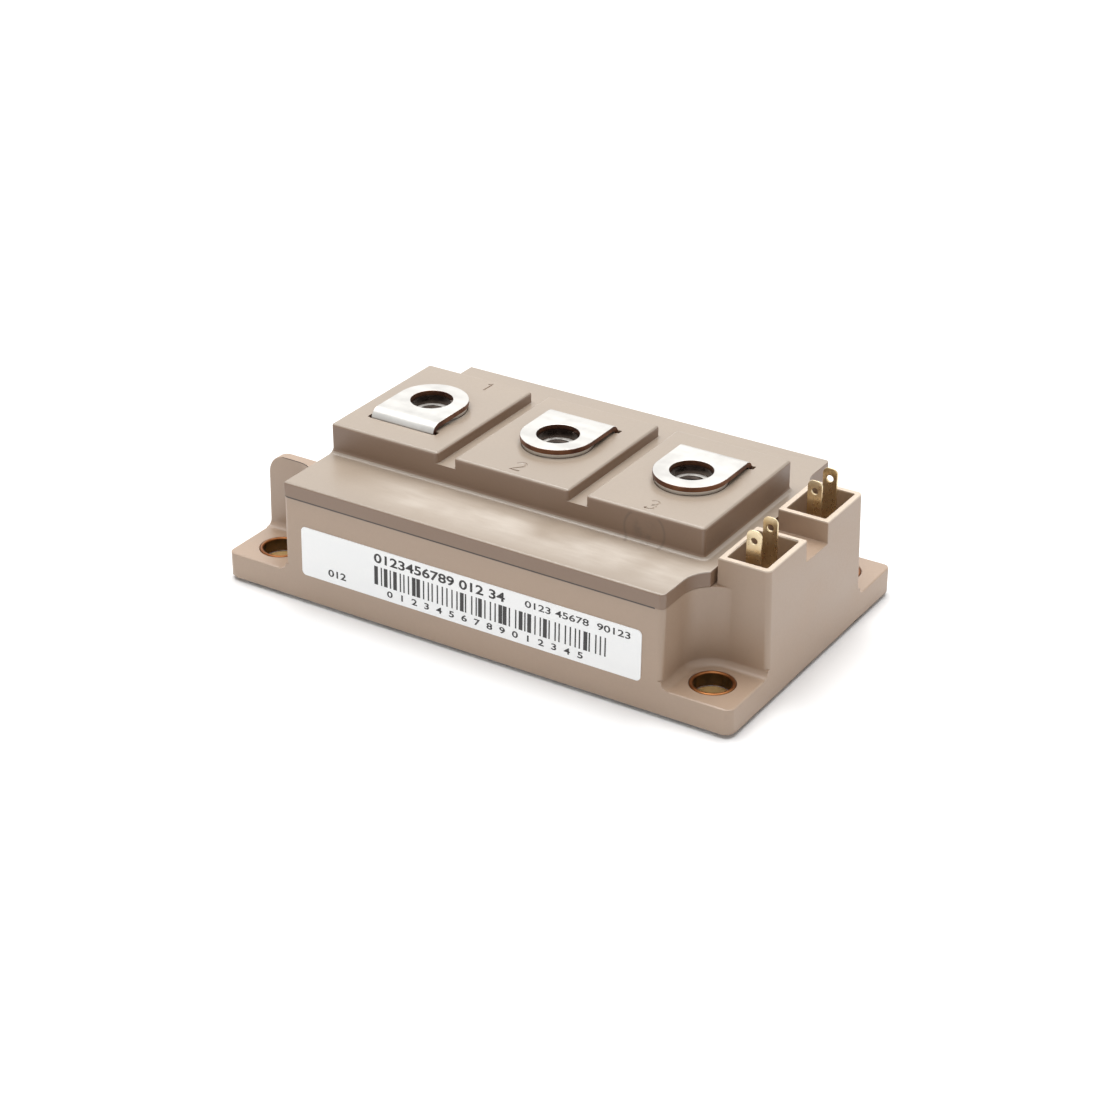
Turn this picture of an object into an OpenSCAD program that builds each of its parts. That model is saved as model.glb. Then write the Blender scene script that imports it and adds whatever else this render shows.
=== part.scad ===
// Dual power transistor module in the 62 mm format: metal base plate, moulded
// case with four screw ears and a control tower, lid with three bent terminals,
// and the ceramic circuit that the housing holds.
// Origin at the centre of the underside, X along the length, Y to the back.

/* [Case] */
// Length over the screw ears
case_l = 108; // [104:1:116]
// Width over the long sides
case_w = 62; // [58:1:68]
// Height of the top of the screw ears above the mounting surface
ear_z = 5.6; // [4.6:0.2:7]
// Height of the rim that the lid sits on
rim_z = 20.9; // [19.5:0.1:24]
// Wall thickness of the moulded body
wall = 2.2; // [1.6:0.1:2.8]
// Draft of the outer faces in degrees
draft = 1.5; // [0.5:0.1:2.5]
// Radius of the corners of the ears seen from above
ear_corner_r = 2; // [1:0.5:4]
// Radius of the upright edges of the body
body_edge_r = 1; // [0.4:0.1:1.6]
// Thickness of the two upright walls at the left end
rib_t = 2; // [1.4:0.1:3]
// Radius of the top corner of those walls
rib_corner_r = 4; // [2:0.5:6]
// Radius of the rounded top edge of the ears
ear_edge_r = 0.5; // [0.2:0.1:0.8]
// Radius of the hollow fillet at the foot of the pocket walls
pocket_fillet_r = 1.4; // [0.6:0.1:2]

/* [Screw holes] */
// Distance from the ends of the case to the screw holes
hole_end = 7.5; // [7:0.1:8]
// Distance from the long sides of the case to the screw holes
hole_side = 7; // [6.4:0.1:7.6]
// Radius of the pocket wall round each screw, which also ends the body
pocket_r = 6.3; // [5.6:0.1:7]
// Outer diameter of the sleeve in each hole
bushing_od = 8.2; // [7.8:0.1:9]
// Bore of the sleeve
bushing_id = 6.8; // [6.5:0.1:7.2]
// Height that the sleeve stands proud of the ear
bushing_proud = 0.1; // [0:0.05:0.3]
// Diameter of the hole in the base plate under the sleeve
plate_hole_d = 6.5; // [6.2:0.1:6.6]

/* [Base plate] */
// Distance from the ends of the case to the base plate
plate_end = 2; // [1:0.1:2.6]
// Distance from the long sides of the case to the base plate
plate_side = 0.8; // [0.7:0.1:2]
// Thickness of the base plate
plate_t = 3; // [2.4:0.1:3.6]
// Height of the plate's underside below the case
plate_reveal = 0.7; // [0.3:0.1:1.2]
// Radius of the plate's corners
plate_corner_r = 2; // [1:0.5:4]

/* [Control tower] */
// Depth of the tower from its left face to the end of the case
tower_depth = 10.6; // [9.6:0.1:11.2]
// Height of the rim of the two open boxes
box_rim_z = 26.2; // [24:0.2:29]
// Height of the floor of the notch between the boxes
notch_z = 22; // [21.4:0.2:23.4]
// Width of the notch between the boxes
notch_w = 8; // [6:0.5:9]
// Wall thickness of the boxes
box_wall = 1.1; // [0.8:0.1:1.6]
// Height of the floor inside the boxes
box_floor_z = 17.5; // [16:0.5:19]
// Thickness of that floor
box_floor_t = 2; // [1.5:0.1:2.5]

/* [Lid] */
// Thickness of the slab that covers the body
slab_t = 3; // [2.4:0.1:4]
// Width that the slab stands proud of the wall below it
slab_lip = 0.2; // [0:0.05:0.4]
// Radius of the rounded top edges of the slab
slab_edge_r = 0.4; // [0.2:0.1:0.8]
// Gap between the end of the slab and the control tower
slab_gap = 0.6; // [0.4:0.1:1.2]
// Distance from the ends of the body to the terminal block
block_end = 0.5; // [0.4:0.1:2]
// Width of the terminal block
block_w = 32; // [28:0.5:36]
// Height of the terminal block above the slab
block_h = 6; // [4.8:0.2:8]
// Width of the grooves between the terminals
groove_w = 3.6; // [2.4:0.2:5]
// Depth of those grooves
groove_d = 2.2; // [1:0.2:3]
// Radius of the rounded edges of the block
block_edge_r = 0.7; // [0.3:0.1:1]
// Radius of the hollow fillet at the foot of the block
block_fillet_r = 1; // [0.5:0.1:1.4]
// Radius of the dished recess round each terminal
dish_r = 9.6; // [9:0.2:10.4]
// Depth of that recess at its centre
dish_d = 0.5; // [0.2:0.1:0.8]
// Thickness of the moulded walls inside the block
lid_wall = 2; // [1.5:0.1:2.4]
// Depth of the locating rim under the slab
lid_rim_h = 2; // [1:0.2:3]
// Thickness of that rim
lid_rim_t = 1.4; // [1:0.1:1.8]

/* [Main terminals] */
// Distance from the ends of the block to the outer terminals
term_end = 11.7; // [10.7:0.1:12.7]
// Width of the terminal tab
tab_w = 14; // [12:0.5:15]
// Thickness of the terminal sheet
tab_t = 1; // [0.8:0.1:1.2]
// Height of the underside of the tab above the block
tab_lift = 0.5; // [0.3:0.1:0.9]
// Diameter of the hole in the tab
tab_hole_d = 8; // [7:0.2:8.6]
// Distance from the hole to the outer face of the bent leg
leg_y = 9.8; // [9.4:0.2:11]
// Inner radius of the bend next to the tab
tab_bend_r = 1.1; // [0.6:0.1:1.1]
// Inner radius of the bend at the foot
foot_bend_r = 0.7; // [0.5:0.1:1]
// Width of the strap that carries the current down to the circuit
strap_w = 5; // [4:0.2:5.2]
// Length of the foot that is soldered down
foot_l = 4; // [3:0.5:5]

/* [Terminal nuts] */
// Width across the flats of the nut
nut_af = 10; // [9:0.5:10]
// Height of the nut
nut_h = 5; // [4:0.2:5.4]
// Bore of the nut, the core diameter of its thread
nut_bore_d = 5; // [4.8:0.1:5.2]
// Diameter of the round collar on the nut
collar_d = 13.4; // [12:0.2:13.6]
// Height of the collar
collar_h = 0.9; // [0.8:0.1:1.2]
// Depth of the free well under the nut
well_d = 2; // [1:0.2:2.2]

/* [Control tabs] */
// Width of a control tab
pin_w = 2.8; // [2.4:0.1:3]
// Thickness of a control tab
pin_t = 0.5; // [0.4:0.1:0.8]
// Height of the tips of the control tabs
pin_tip_z = 31.2; // [29:0.2:32]
// Diameter of the hole in a control tab
pin_hole_d = 1.3; // [1:0.1:1.5]
// Radius of the rounded shoulders at the tip
pin_tip_r = 1; // [0.5:0.1:1.2]
// Distance between the two control tabs of a box
pin_pitch = 5.9; // [5:0.1:6.4]
// Distance of each pair from the middle of its box, away from the centre line
pin_shift = 0.4; // [0.1:0.1:0.6]
// Height of the ledge that carries the bonding pads
ledge_z = 8; // [7:0.5:9]
// Width of that ledge
ledge_w = 3; // [2.4:0.2:3.6]

/* [Circuit] */
// Gap between the ceramic plates and the end walls of the case
ceramic_end = 1.8; // [1.4:0.1:2.4]
// Width of each ceramic plate
ceramic_w = 44; // [42:0.5:48]
// Thickness of the ceramic
ceramic_t = 0.6; // [0.3:0.1:1]
// Thickness of the copper on both sides
copper_t = 0.3; // [0.2:0.1:0.5]
// Margin of bare ceramic round the copper
ceramic_margin = 0.8; // [0.5:0.1:1.2]
// Gap between copper tracks
track_gap = 0.8; // [0.5:0.1:1]
// Gap between the two ceramic plates
ceramic_gap = 2.4; // [1.6:0.2:3]
// Side of a transistor chip as a share of the length of the emitter track
igbt_share = 0.5; // [0.4:0.02:0.54]
// Side of a diode chip as a share of the same length
diode_share = 0.36; // [0.32:0.02:0.4]
// Thickness of the chips
chip_t = 0.3; // [0.2:0.1:0.4]
// Diameter of the power bond wires
wire_d = 0.4; // [0.3:0.05:0.5]
// Height of the arch of a power bond wire
wire_h = 2.6; // [2:0.2:3.2]
// Number of power bond wires beside each other on a chip
wires_per_chip = 5; // [3:1:6]
// Diameter of the gate wires
gate_wire_d = 0.25; // [0.2:0.05:0.3]
// Height of the top of the silicone gel
gel_z = 11; // [10.4:0.2:13]

/* [Label] */
// Distance from the ends of the body to the label
label_end = 4; // [3:0.5:12]
// Height of the label
label_h = 9.8; // [8:0.2:11]
// Height of its lower edge above the mounting surface
label_z = 6; // [5:0.2:8]
// Thickness of the label
label_t = 0.15; // [0.1:0.05:0.3]
// Radius of its corners
label_r = 0.9; // [0.4:0.1:1.5]

/* [Fits] */
// Clearance round metal pieces that are moulded or pressed in
fit = 0.05; // [0.03:0.01:0.1]
// Clearance round the legs in the lid's slots, and round the base plate
slot_fit = 0.2; // [0.1:0.05:0.3]

/* [Hidden] */
TERMINALS = [1, 2, 3];
CORNERS = [[-1, -1], [1, -1], [-1, 1], [1, 1]];
$fn = 48;
over = 1;
deep = 200;
sunk = 0.3;
eps = 0.01;

case_x = case_l / 2;
case_y = case_w / 2;
hole_x = case_x - hole_end;
hole_y = case_y - hole_side;
body_x = hole_x - pocket_r;
pocket_y = hole_y - pocket_r;
plate_l = 2 * (case_x - plate_end);
plate_w = 2 * (case_y - plate_side);
tower_x = case_x - tower_depth;
block_l = 2 * (body_x - block_end);
term_pitch = block_l / 2 - term_end;
label_l = 2 * (body_x - label_end);
inner_x = body_x - wall;
rim_y = case_y - (rim_z - plate_reveal) * tan(draft);
inner_y = rim_y - wall;
box_face_x = case_x - (box_rim_z - plate_reveal) * tan(draft);
slab_z = rim_z + slab_t;
block_z = slab_z + block_h;
tab_z = block_z + tab_lift;
slab_x1 = tower_x - slab_gap;
slab_x0 = sunk - body_x;
term_x = [-term_pitch, 0, term_pitch];
leg_side = [-1, 1, 1];
strap_x = term_x + (tab_w - strap_w) / 2 * [-1, 1, 1];
ceramic_l = inner_x - ceramic_end - ceramic_gap / 2;
ceramic_z = plate_t + copper_t;
track_z = ceramic_z + ceramic_t;
solder_z = track_z + copper_t;
ceramic_x = (ceramic_l + ceramic_gap) / 2;
pin_x = (tower_x + box_face_x) / 2;
box_y = (notch_w / 2 + pocket_y) / 2 + pin_shift;
pin_inner_y = box_y - pin_pitch / 2;
pin_outer_y = box_y + pin_pitch / 2;
pin_y = [-pin_outer_y, -pin_inner_y, pin_inner_y, pin_outer_y];
ledge_x = inner_x + ledge_w / 2 - 1;
copper_x = ceramic_l / 2 - ceramic_margin;
copper_y = ceramic_w / 2 - ceramic_margin;
wire_margin = 0.2;
// Places on a circuit half, measured from the middle of its ceramic plate
igbt_y = 2;
diode_y = 15;
strip_w = 2;
front_track_y = -8.6;
split_x = ceramic_x - strap_x[2] + (strap_w + track_gap + wire_margin) / 2;
emitter_x0 = split_x + track_gap / 2;
emitter_x1 = ceramic_x - strap_x[1] - strap_w / 2;
emitter_l = emitter_x1 - emitter_x0;
igbt_side = igbt_share * emitter_l;
diode_side = diode_share * emitter_l;
wires_half = 0.155 * emitter_l;
wire_pitch = 2 * (wires_half - wire_d / 2 - wire_margin) / (wires_per_chip - 1);
chip_x = [emitter_x0 + wires_half, emitter_x1 - wires_half];
gate_y = front_track_y + track_gap + strip_w / 2;
gate_pad = 0.8;
pad_end = 0.4;
arm_h = 2;

// Plan shapes

module rounded_rect(l, w, r) {
    union() {
        square([l - 2 * r, w], center = true);
        square([l, w - 2 * r], center = true);
        for (c = CORNERS) translate([c[0] * (l / 2 - r), c[1] * (w / 2 - r)]) circle(r);
    }
}

// The open area over one screw ear, in the quarter where x and y are positive
module pocket_plan(grow = 0) {
    difference() {
        translate([body_x + grow, pocket_y + grow]) square([deep, deep]);
        difference() {
            square([hole_x, hole_y]);
            translate([hole_x, hole_y]) circle(pocket_r - grow, $fn = 96);
        }
    }
}

// The sliver outside a rounded corner at x = 0, y = 0
module corner_sliver(r) {
    translate([-r, -r]) difference() {
        square([r + over, r + over]);
        circle(r);
    }
}

// Section of a hollow fillet between a floor and a wall at x = 0, with the
// floor on the positive side, sunk a little into both
module fillet_section(r) {
    difference() {
        translate([-sunk, -sunk]) square([r + sunk, r + sunk]);
        translate([r, r]) circle(r);
    }
}

// Outer envelope with draft on all four sides
module drafted_block(l, w, z0, z1, grow = 0) {
    run = (z1 - z0) * tan(draft);
    intersection() {
        translate([0, 0, z0]) linear_extrude(z1 - z0) square([deep, deep], center = true);
        rotate([90, 0, 0]) linear_extrude(deep, center = true)
            polygon([[-l / 2 - grow, z0], [l / 2 + grow, z0], [l / 2 + grow - run, z1], [-l / 2 - grow + run, z1]]);
        rotate([90, 0, 90]) linear_extrude(deep, center = true)
            polygon([[-w / 2 - grow, z0], [w / 2 + grow, z0], [w / 2 + grow - run, z1], [-w / 2 - grow + run, z1]]);
    }
}

// Base plate

module plate_holes(d) {
    for (c = CORNERS) translate([c[0] * hole_x, c[1] * hole_y, -over]) cylinder(d = d, h = deep / 2, $fn = 64);
}

module base_plate() {
    color("lightgrey") difference() {
        linear_extrude(plate_t) rounded_rect(plate_l, plate_w, plate_corner_r);
        plate_holes(plate_hole_d);
    }
}

module mounting_bushing(i) {
    c = CORNERS[i - 1];
    color("darkgoldenrod") translate([c[0] * hole_x, c[1] * hole_y, plate_t]) difference() {
        cylinder(d = bushing_od, h = ear_z + bushing_proud - plate_t, $fn = 64);
        translate([0, 0, -over]) cylinder(d = bushing_id, h = ear_z + 2 * over, $fn = 64);
    }
}

// Case

module upper_plan() {
    difference() {
        square([deep, deep], center = true);
        for (c = CORNERS) mirror_to(c) pocket_plan();
        translate([-body_x - deep, -pocket_y + rib_t]) square([deep, 2 * (pocket_y - rib_t)]);
    }
}

// Copies a shape made for the quarter with positive x and y to quarter c
module mirror_to(c) {
    mirror([c[0] < 0 ? 1 : 0, 0, 0]) mirror([0, c[1] < 0 ? 1 : 0, 0]) children();
}

// Rounds the top corner of the ribs, touching their top and their leaning end
module rib_corner_cut() {
    r = rib_corner_r;
    mid_z = rim_z - r;
    mid_x = (r + (mid_z - plate_reveal) * sin(draft)) / cos(draft) - case_x;
    low_z = mid_z + r * sin(draft);
    rotate([90, 0, 0]) linear_extrude(deep, center = true) difference() {
        translate([-case_x - over, low_z]) square([case_x + over + mid_x, rim_z + over - low_z]);
        translate([mid_x, mid_z]) circle(r, $fn = 96);
    }
}

// Cuts that round the upright edges above the fillets: they lean with the draft
module edge_cut() {
    translate([0, 0, ear_z + pocket_fillet_r - plate_reveal]) linear_extrude(deep) corner_sliver(body_edge_r);
}

module upright_edge_cuts() {
    translate([body_x, case_y, plate_reveal]) rotate([draft, 0, 0]) edge_cut();
}

module tower_edge_cuts() {
    translate([case_x, pocket_y, plate_reveal]) rotate([0, -draft, 0]) edge_cut();
}

// Fillet that follows the pocket wall: along the body, round the screw and
// along the rib or the tower
module pocket_fillet() {
    r = pocket_fillet_r;
    translate([body_x, hole_y, ear_z]) rotate([-90, 0, 0]) mirror([0, 1, 0])
        linear_extrude(hole_side) fillet_section(r);
    translate([hole_x, hole_y, ear_z]) rotate([0, 0, 180]) rotate_extrude(angle = 90, $fn = 96)
        translate([pocket_r, 0]) mirror([1, 0]) fillet_section(r);
    translate([hole_x, pocket_y, ear_z]) rotate([90, 0, 90])
        linear_extrude(hole_end) fillet_section(r);
}

module case_outside() {
    intersection() {
        drafted_block(case_l, case_w, plate_reveal, box_rim_z);
        translate([0, 0, plate_reveal]) linear_extrude(deep / 2) rounded_rect(case_l, case_w, ear_corner_r);
        union() {
            soft_block(case_l, case_w, ear_z, ear_edge_r);
            for (c = CORNERS) mirror_to(c) pocket_fillet();
            difference() {
                union() {
                    linear_extrude(rim_z) upper_plan();
                    translate([tower_x, -pocket_y, ear_z]) cube([deep, 2 * pocket_y, deep]);
                }
                rib_corner_cut();
                for (c = CORNERS) mirror_to(c) upright_edge_cuts();
                for (c = [[1, -1], [1, 1]]) mirror_to(c) tower_edge_cuts();
            }
        }
    }
}

module box_hollow(side) {
    y0 = notch_w / 2 + box_wall;
    y1 = pocket_y - box_wall;
    translate([tower_x + box_wall, side > 0 ? y0 : -y1, box_floor_z])
        cube([box_face_x - tower_x - 2 * box_wall, y1 - y0, deep]);
}

module case_cavity() {
    translate([-inner_x, -inner_y, plate_t - over]) cube([2 * inner_x, 2 * inner_y, deep]);
    translate([0, wall - pocket_y, plate_t - over])
        cube([box_face_x - wall, 2 * (pocket_y - wall), box_floor_z - box_floor_t - plate_t + over]);
}

module case() {
    color("tan") difference() {
        union() {
            difference() {
                case_outside();
                case_cavity();
            }
            translate([ledge_x - ledge_w / 2, -pocket_y + wall / 2, plate_t])
                cube([ledge_w, 2 * pocket_y - wall, ledge_z - plate_t]);
        }
        translate([0, 0, -over]) linear_extrude(plate_t + over)
            rounded_rect(plate_l + 2 * slot_fit, plate_w + 2 * slot_fit, plate_corner_r + slot_fit);
        plate_holes(bushing_od + 2 * fit);
        for (side = [-1, 1]) box_hollow(side);
        translate([tower_x - over, -notch_w / 2, notch_z]) cube([deep, notch_w, deep]);
        for (i = [1:4]) {
            control_blade(i, fit);
            control_pad(i, fit);
        }
    }
}

// Lid

module slab_plan() {
    y = rim_y + slab_lip;
    difference() {
        translate([slab_x0, -y]) square([slab_x1 - slab_x0, 2 * y]);
        for (c = CORNERS) mirror_to(c) union() {
            pocket_plan(slab_lip / 2);
            translate([body_x + slab_lip / 2, y]) corner_sliver(body_edge_r);
        }
    }
}

// Top and sides of a block with rounded edges, standing on z = 0
module soft_block(l, w, h, r) {
    module side(s) {
        union() {
            translate([-s / 2, 0]) square([s, h - r]);
            translate([-s / 2 + r, 0]) square([s - 2 * r, h]);
            for (x = [-1, 1]) translate([x * (s / 2 - r), h - r]) circle(r);
        }
    }
    intersection() {
        linear_extrude(h) rounded_rect(l, w, r);
        rotate([90, 0, 0]) linear_extrude(w + over, center = true) side(l);
        rotate([90, 0, 90]) linear_extrude(l + over, center = true) side(w);
    }
}

// The block that carries one terminal, as wide as the grooves leave it
module terminal_block(i) {
    half = (term_pitch - groove_w) / 2;
    x0 = i == 1 ? -block_l / 2 : term_x[i - 1] - half;
    x1 = i == 3 ? block_l / 2 : term_x[i - 1] + half;
    translate([(x0 + x1) / 2, 0, 0]) soft_block(x1 - x0, block_w, block_h, block_edge_r);
}

// Hollow fillet round the foot of the block, cut flush with the block's left end
module block_fillets() {
    r = block_fillet_r;
    corner_x = block_l / 2 - block_edge_r;
    corner_y = block_w / 2 - block_edge_r;
    intersection() {
        translate([-block_l / 2, -deep / 2, -deep / 2]) cube(deep);
        union() {
            for (side = [-1, 1]) translate([0, side * block_w / 2, 0]) rotate([90, 0, 90]) mirror([side < 0 ? 1 : 0, 0])
                linear_extrude(2 * corner_x, center = true) fillet_section(r);
            translate([block_l / 2, 0, 0]) rotate([90, 0, 0])
                linear_extrude(2 * corner_y, center = true) fillet_section(r);
            for (c = CORNERS) mirror_to(c) translate([corner_x, corner_y, 0])
                rotate_extrude(angle = 90, $fn = 32) translate([block_edge_r, 0]) fillet_section(r);
        }
    }
}

module dish(i) {
    ball_r = (dish_r * dish_r + dish_d * dish_d) / (2 * dish_d);
    translate([term_x[i - 1], 0, block_z - dish_d + ball_r]) sphere(ball_r, $fn = 180);
}

module nut_boss(i) {
    boss_z = tab_z - nut_h - well_d - lid_wall;
    translate([term_x[i - 1], 0, boss_z]) cylinder(r = nut_af / 2 / cos(30) + lid_wall, h = block_z - boss_z, $fn = 64);
}

module nut_room(i) {
    screw_room = 1.6;
    seat_z = tab_z - nut_h;
    translate([term_x[i - 1], 0, 0]) {
        translate([0, 0, seat_z]) rotate([0, 0, 30]) cylinder(d = (nut_af + 2 * fit) / cos(30), h = deep, $fn = 6);
        translate([0, 0, tab_z - collar_h - fit]) cylinder(d = collar_d + 2 * fit, h = deep, $fn = 64);
        translate([0, 0, seat_z - well_d]) cylinder(d = nut_bore_d + screw_room, h = deep, $fn = 64);
    }
}

module leg_slot(i) {
    s = leg_side[i - 1];
    y0 = leg_y - tab_t - slot_fit;
    y1 = leg_y + slot_fit;
    translate([term_x[i - 1] - tab_w / 2 - slot_fit, s > 0 ? y0 : -y1, 0])
        cube([tab_w + 2 * slot_fit, y1 - y0, deep]);
}

// The slab with rounded top edges along its straight sides
module slab() {
    y = rim_y + slab_lip;
    intersection() {
        translate([0, 0, rim_z]) linear_extrude(slab_t) slab_plan();
        translate([(slab_x0 + slab_x1) / 2, 0, slab_z - slab_t])
            soft_block(slab_x1 - slab_x0, 2 * y, slab_t, slab_edge_r);
    }
}

module lid() {
    hollow_z = block_z - groove_d - lid_wall;
    hollow_x = block_l / 2 - lid_wall;
    hollow_y = block_w / 2 - lid_wall;
    color("wheat") difference() {
        union() {
            slab();
            translate([0, 0, slab_z - eps]) {
                for (i = TERMINALS) terminal_block(i);
                translate([lid_wall - block_l / 2, -block_w / 2, 0])
                    cube([block_l - 2 * lid_wall, block_w, block_h - groove_d]);
                block_fillets();
            }
            translate([0, 0, rim_z - lid_rim_h]) linear_extrude(lid_rim_h) difference() {
                square([2 * (inner_x - slot_fit), 2 * (inner_y - slot_fit)], center = true);
                square([2 * (inner_x - slot_fit - lid_rim_t), 2 * (inner_y - slot_fit - lid_rim_t)], center = true);
            }
        }
        difference() {
            translate([-hollow_x, -hollow_y, 0]) cube([2 * hollow_x, 2 * hollow_y, hollow_z]);
            for (i = TERMINALS) nut_boss(i);
        }
        for (i = TERMINALS) {
            dish(i);
            nut_room(i);
            leg_slot(i);
        }
    }
}

// Label, cut from a skin over the drafted front face

module label() {
    color("white") intersection() {
        difference() {
            drafted_block(case_l, case_w, plate_reveal, box_rim_z, label_t);
            drafted_block(case_l, case_w, plate_reveal, box_rim_z);
        }
        translate([0, -case_y / 2, label_z + label_h / 2]) rotate([90, 0, 0])
            linear_extrude(case_w) rounded_rect(label_l, label_h, label_r);
    }
}

// Main terminals: a round-ended tab, a bend, a wide leg in the slot, a narrower
// strap down to the circuit and a soldered foot

module bend_section(r) {
    intersection() {
        difference() {
            circle(r + tab_t);
            circle(r);
        }
        square([deep, deep]);
    }
}

module main_terminal(i) {
    top_z = tab_z + tab_t;
    knee = leg_y - tab_t - tab_bend_r;
    wide_z = rim_z - lid_rim_h;
    ankle_z = solder_z + tab_t + foot_bend_r;
    dx = strap_x[i - 1] - term_x[i - 1];
    color("gainsboro") translate([term_x[i - 1], 0, 0]) mirror([0, leg_side[i - 1] < 0 ? 1 : 0, 0]) difference() {
        union() {
            translate([0, 0, tab_z]) linear_extrude(tab_t) union() {
                circle(d = tab_w, $fn = 96);
                translate([-tab_w / 2, 0]) square([tab_w, knee]);
            }
            translate([0, knee, tab_z - tab_bend_r]) rotate([90, 0, 90])
                linear_extrude(tab_w, center = true) bend_section(tab_bend_r);
            translate([-tab_w / 2, leg_y - tab_t, wide_z]) cube([tab_w, tab_t, tab_z - tab_bend_r - wide_z]);
            translate([dx - strap_w / 2, leg_y - tab_t, ankle_z]) cube([strap_w, tab_t, wide_z - ankle_z]);
            translate([dx, leg_y + foot_bend_r, ankle_z]) rotate([90, 0, 90]) mirror([1, 0]) mirror([0, 1])
                linear_extrude(strap_w, center = true) bend_section(foot_bend_r);
            translate([dx - strap_w / 2, leg_y + foot_bend_r, solder_z]) cube([strap_w, foot_l, tab_t]);
        }
        translate([0, 0, tab_z - over]) cylinder(d = tab_hole_d, h = 3 * over, $fn = 96);
    }
}

module terminal_nut(i) {
    lead_in = 0.6;
    color("silver") translate([term_x[i - 1], 0, tab_z - nut_h]) difference() {
        union() {
            rotate([0, 0, 30]) cylinder(d = nut_af / cos(30), h = nut_h, $fn = 6);
            translate([0, 0, nut_h - collar_h]) cylinder(d = collar_d, h = collar_h, $fn = 64);
        }
        translate([0, 0, -over]) cylinder(d = nut_bore_d, h = nut_h + 2 * over, $fn = 64);
        translate([0, 0, nut_h - lead_in + eps])
            cylinder(d1 = nut_bore_d, d2 = nut_bore_d + 2 * lead_in, h = lead_in, $fn = 64);
    }
}

// Control tabs: a blade through the floor of its box, an arm along the tower
// and a flat pad on the ledge

module control_blade(i, grow = 0) {
    z0 = ledge_z + pin_t;
    translate([pin_x - pin_w / 2 - grow, pin_y[i - 1] - pin_t / 2 - grow, z0])
        cube([pin_w + 2 * grow, pin_t + 2 * grow, pin_tip_z - z0]);
}

module control_pad(i, grow = 0) {
    translate([ledge_x - ledge_w / 2 + pad_end - grow, pin_y[i - 1] - pin_w / 2 - grow, ledge_z])
        cube([ledge_w - 2 * pad_end + 2 * grow, pin_w + 2 * grow, pin_t + grow]);
}

module control_tab(i) {
    tip_z = pin_tip_z - pin_tip_r;
    color("goldenrod") difference() {
        union() {
            intersection() {
                control_blade(i);
                translate([pin_x, 0, 0]) rotate([90, 0, 0]) linear_extrude(case_w, center = true) union() {
                    translate([-pin_w / 2, 0]) square([pin_w, tip_z]);
                    translate([pin_tip_r - pin_w / 2, 0]) square([pin_w - 2 * pin_tip_r, pin_tip_z]);
                    for (side = [-1, 1]) translate([side * (pin_w / 2 - pin_tip_r), tip_z]) circle(pin_tip_r);
                }
            }
            translate([ledge_x - ledge_w / 2 + pad_end, pin_y[i - 1] - pin_t / 2, ledge_z + pin_t])
                cube([pin_x - ledge_x + ledge_w / 2 - pad_end, pin_t, arm_h]);
            control_pad(i);
        }
        translate([pin_x, 0, tip_z - pin_tip_r]) rotate([90, 0, 0])
            cylinder(d = pin_hole_d, h = case_w, center = true, $fn = 32);
    }
}

// Circuit: the right half is the left half turned round by 180 degrees

module place_half(i) {
    rotate([0, 0, i == 1 ? 0 : 180]) translate([-ceramic_x, 0, 0]) children();
}

module slab_at(z, l, w, t) {
    translate([-l / 2, -w / 2, z]) cube([l, w, t]);
}

module bottom_copper(i) {
    color("peru") place_half(i) slab_at(plate_t, 2 * copper_x, 2 * copper_y, copper_t);
}

module ceramic(i) {
    color("ivory") place_half(i) slab_at(ceramic_z, ceramic_l, ceramic_w, ceramic_t);
}

// Tracks: the collector track carries the chips and reaches round to the foot of
// a main terminal, the emitter track takes the wires, the strip feeds the gates
module top_copper(i) {
    chip_y0 = gate_y + strip_w / 2 + track_gap;
    color("peru") place_half(i) translate([0, 0, track_z]) {
        union() {
            translate([-copper_x, -copper_y, 0]) cube([copper_x + split_x - track_gap / 2, 2 * copper_y, copper_t]);
            translate([-copper_x, chip_y0, 0]) cube([2 * copper_x, copper_y - chip_y0, copper_t]);
        }
        translate([emitter_x0, -copper_y, 0]) cube([copper_x - emitter_x0, copper_y + front_track_y, copper_t]);
        translate([emitter_x0, gate_y - strip_w / 2, 0]) cube([copper_x - emitter_x0, strip_w, copper_t]);
    }
}

module chip(i, y, side, tint) {
    half = i <= 2 ? 1 : 2;
    color(tint) place_half(half) translate([chip_x[(i - 1) % 2], y, 0]) slab_at(solder_z, side, side, chip_t);
}

// An arched wire in the plane x = 0, from y0 at height z0 up to y1 at height z1
module bond_loop(y0, z0, y1, z1, h, d) {
    span = norm([y1 - y0, z1 - z0]);
    lean = atan2(z1 - z0, y1 - y0);
    r = (span * span / 4 + h * h) / (2 * h);
    intersection() {
        translate([0, (y0 + y1) / 2 - (h - r) * sin(lean), (z0 + z1) / 2 + (h - r) * cos(lean)])
            rotate([0, 90, 0]) rotate_extrude($fn = 96) translate([r, 0]) circle(d = d, $fn = 16);
        union() {
            translate([-over, y0 - over, z0]) cube([2 * over, y1 - y0, deep]);
            translate([-over, y1 - over, z1]) cube([2 * over, 2 * over, deep]);
        }
    }
}

// The same wire from point a up to point b
module bond_between(a, b, h, d) {
    translate([a[0], a[1], 0]) rotate([0, 0, atan2(b[1] - a[1], b[0] - a[0]) - 90])
        bond_loop(0, a[2], norm([b[0] - a[0], b[1] - a[1]]), b[2], h, d);
}

module power_wires(i) {
    top = solder_z + chip_t;
    track_reach = 3;
    color("lightgrey") place_half(i) for (x = chip_x, k = [1:wires_per_chip])
        translate([x + (k - (wires_per_chip + 1) / 2) * wire_pitch, 0, 0]) {
            bond_loop(front_track_y - track_reach, solder_z, igbt_y - 2, top, wire_h, wire_d);
            bond_loop(igbt_y + 1, top, diode_y - 1, top, wire_h, wire_d);
        }
}

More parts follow.
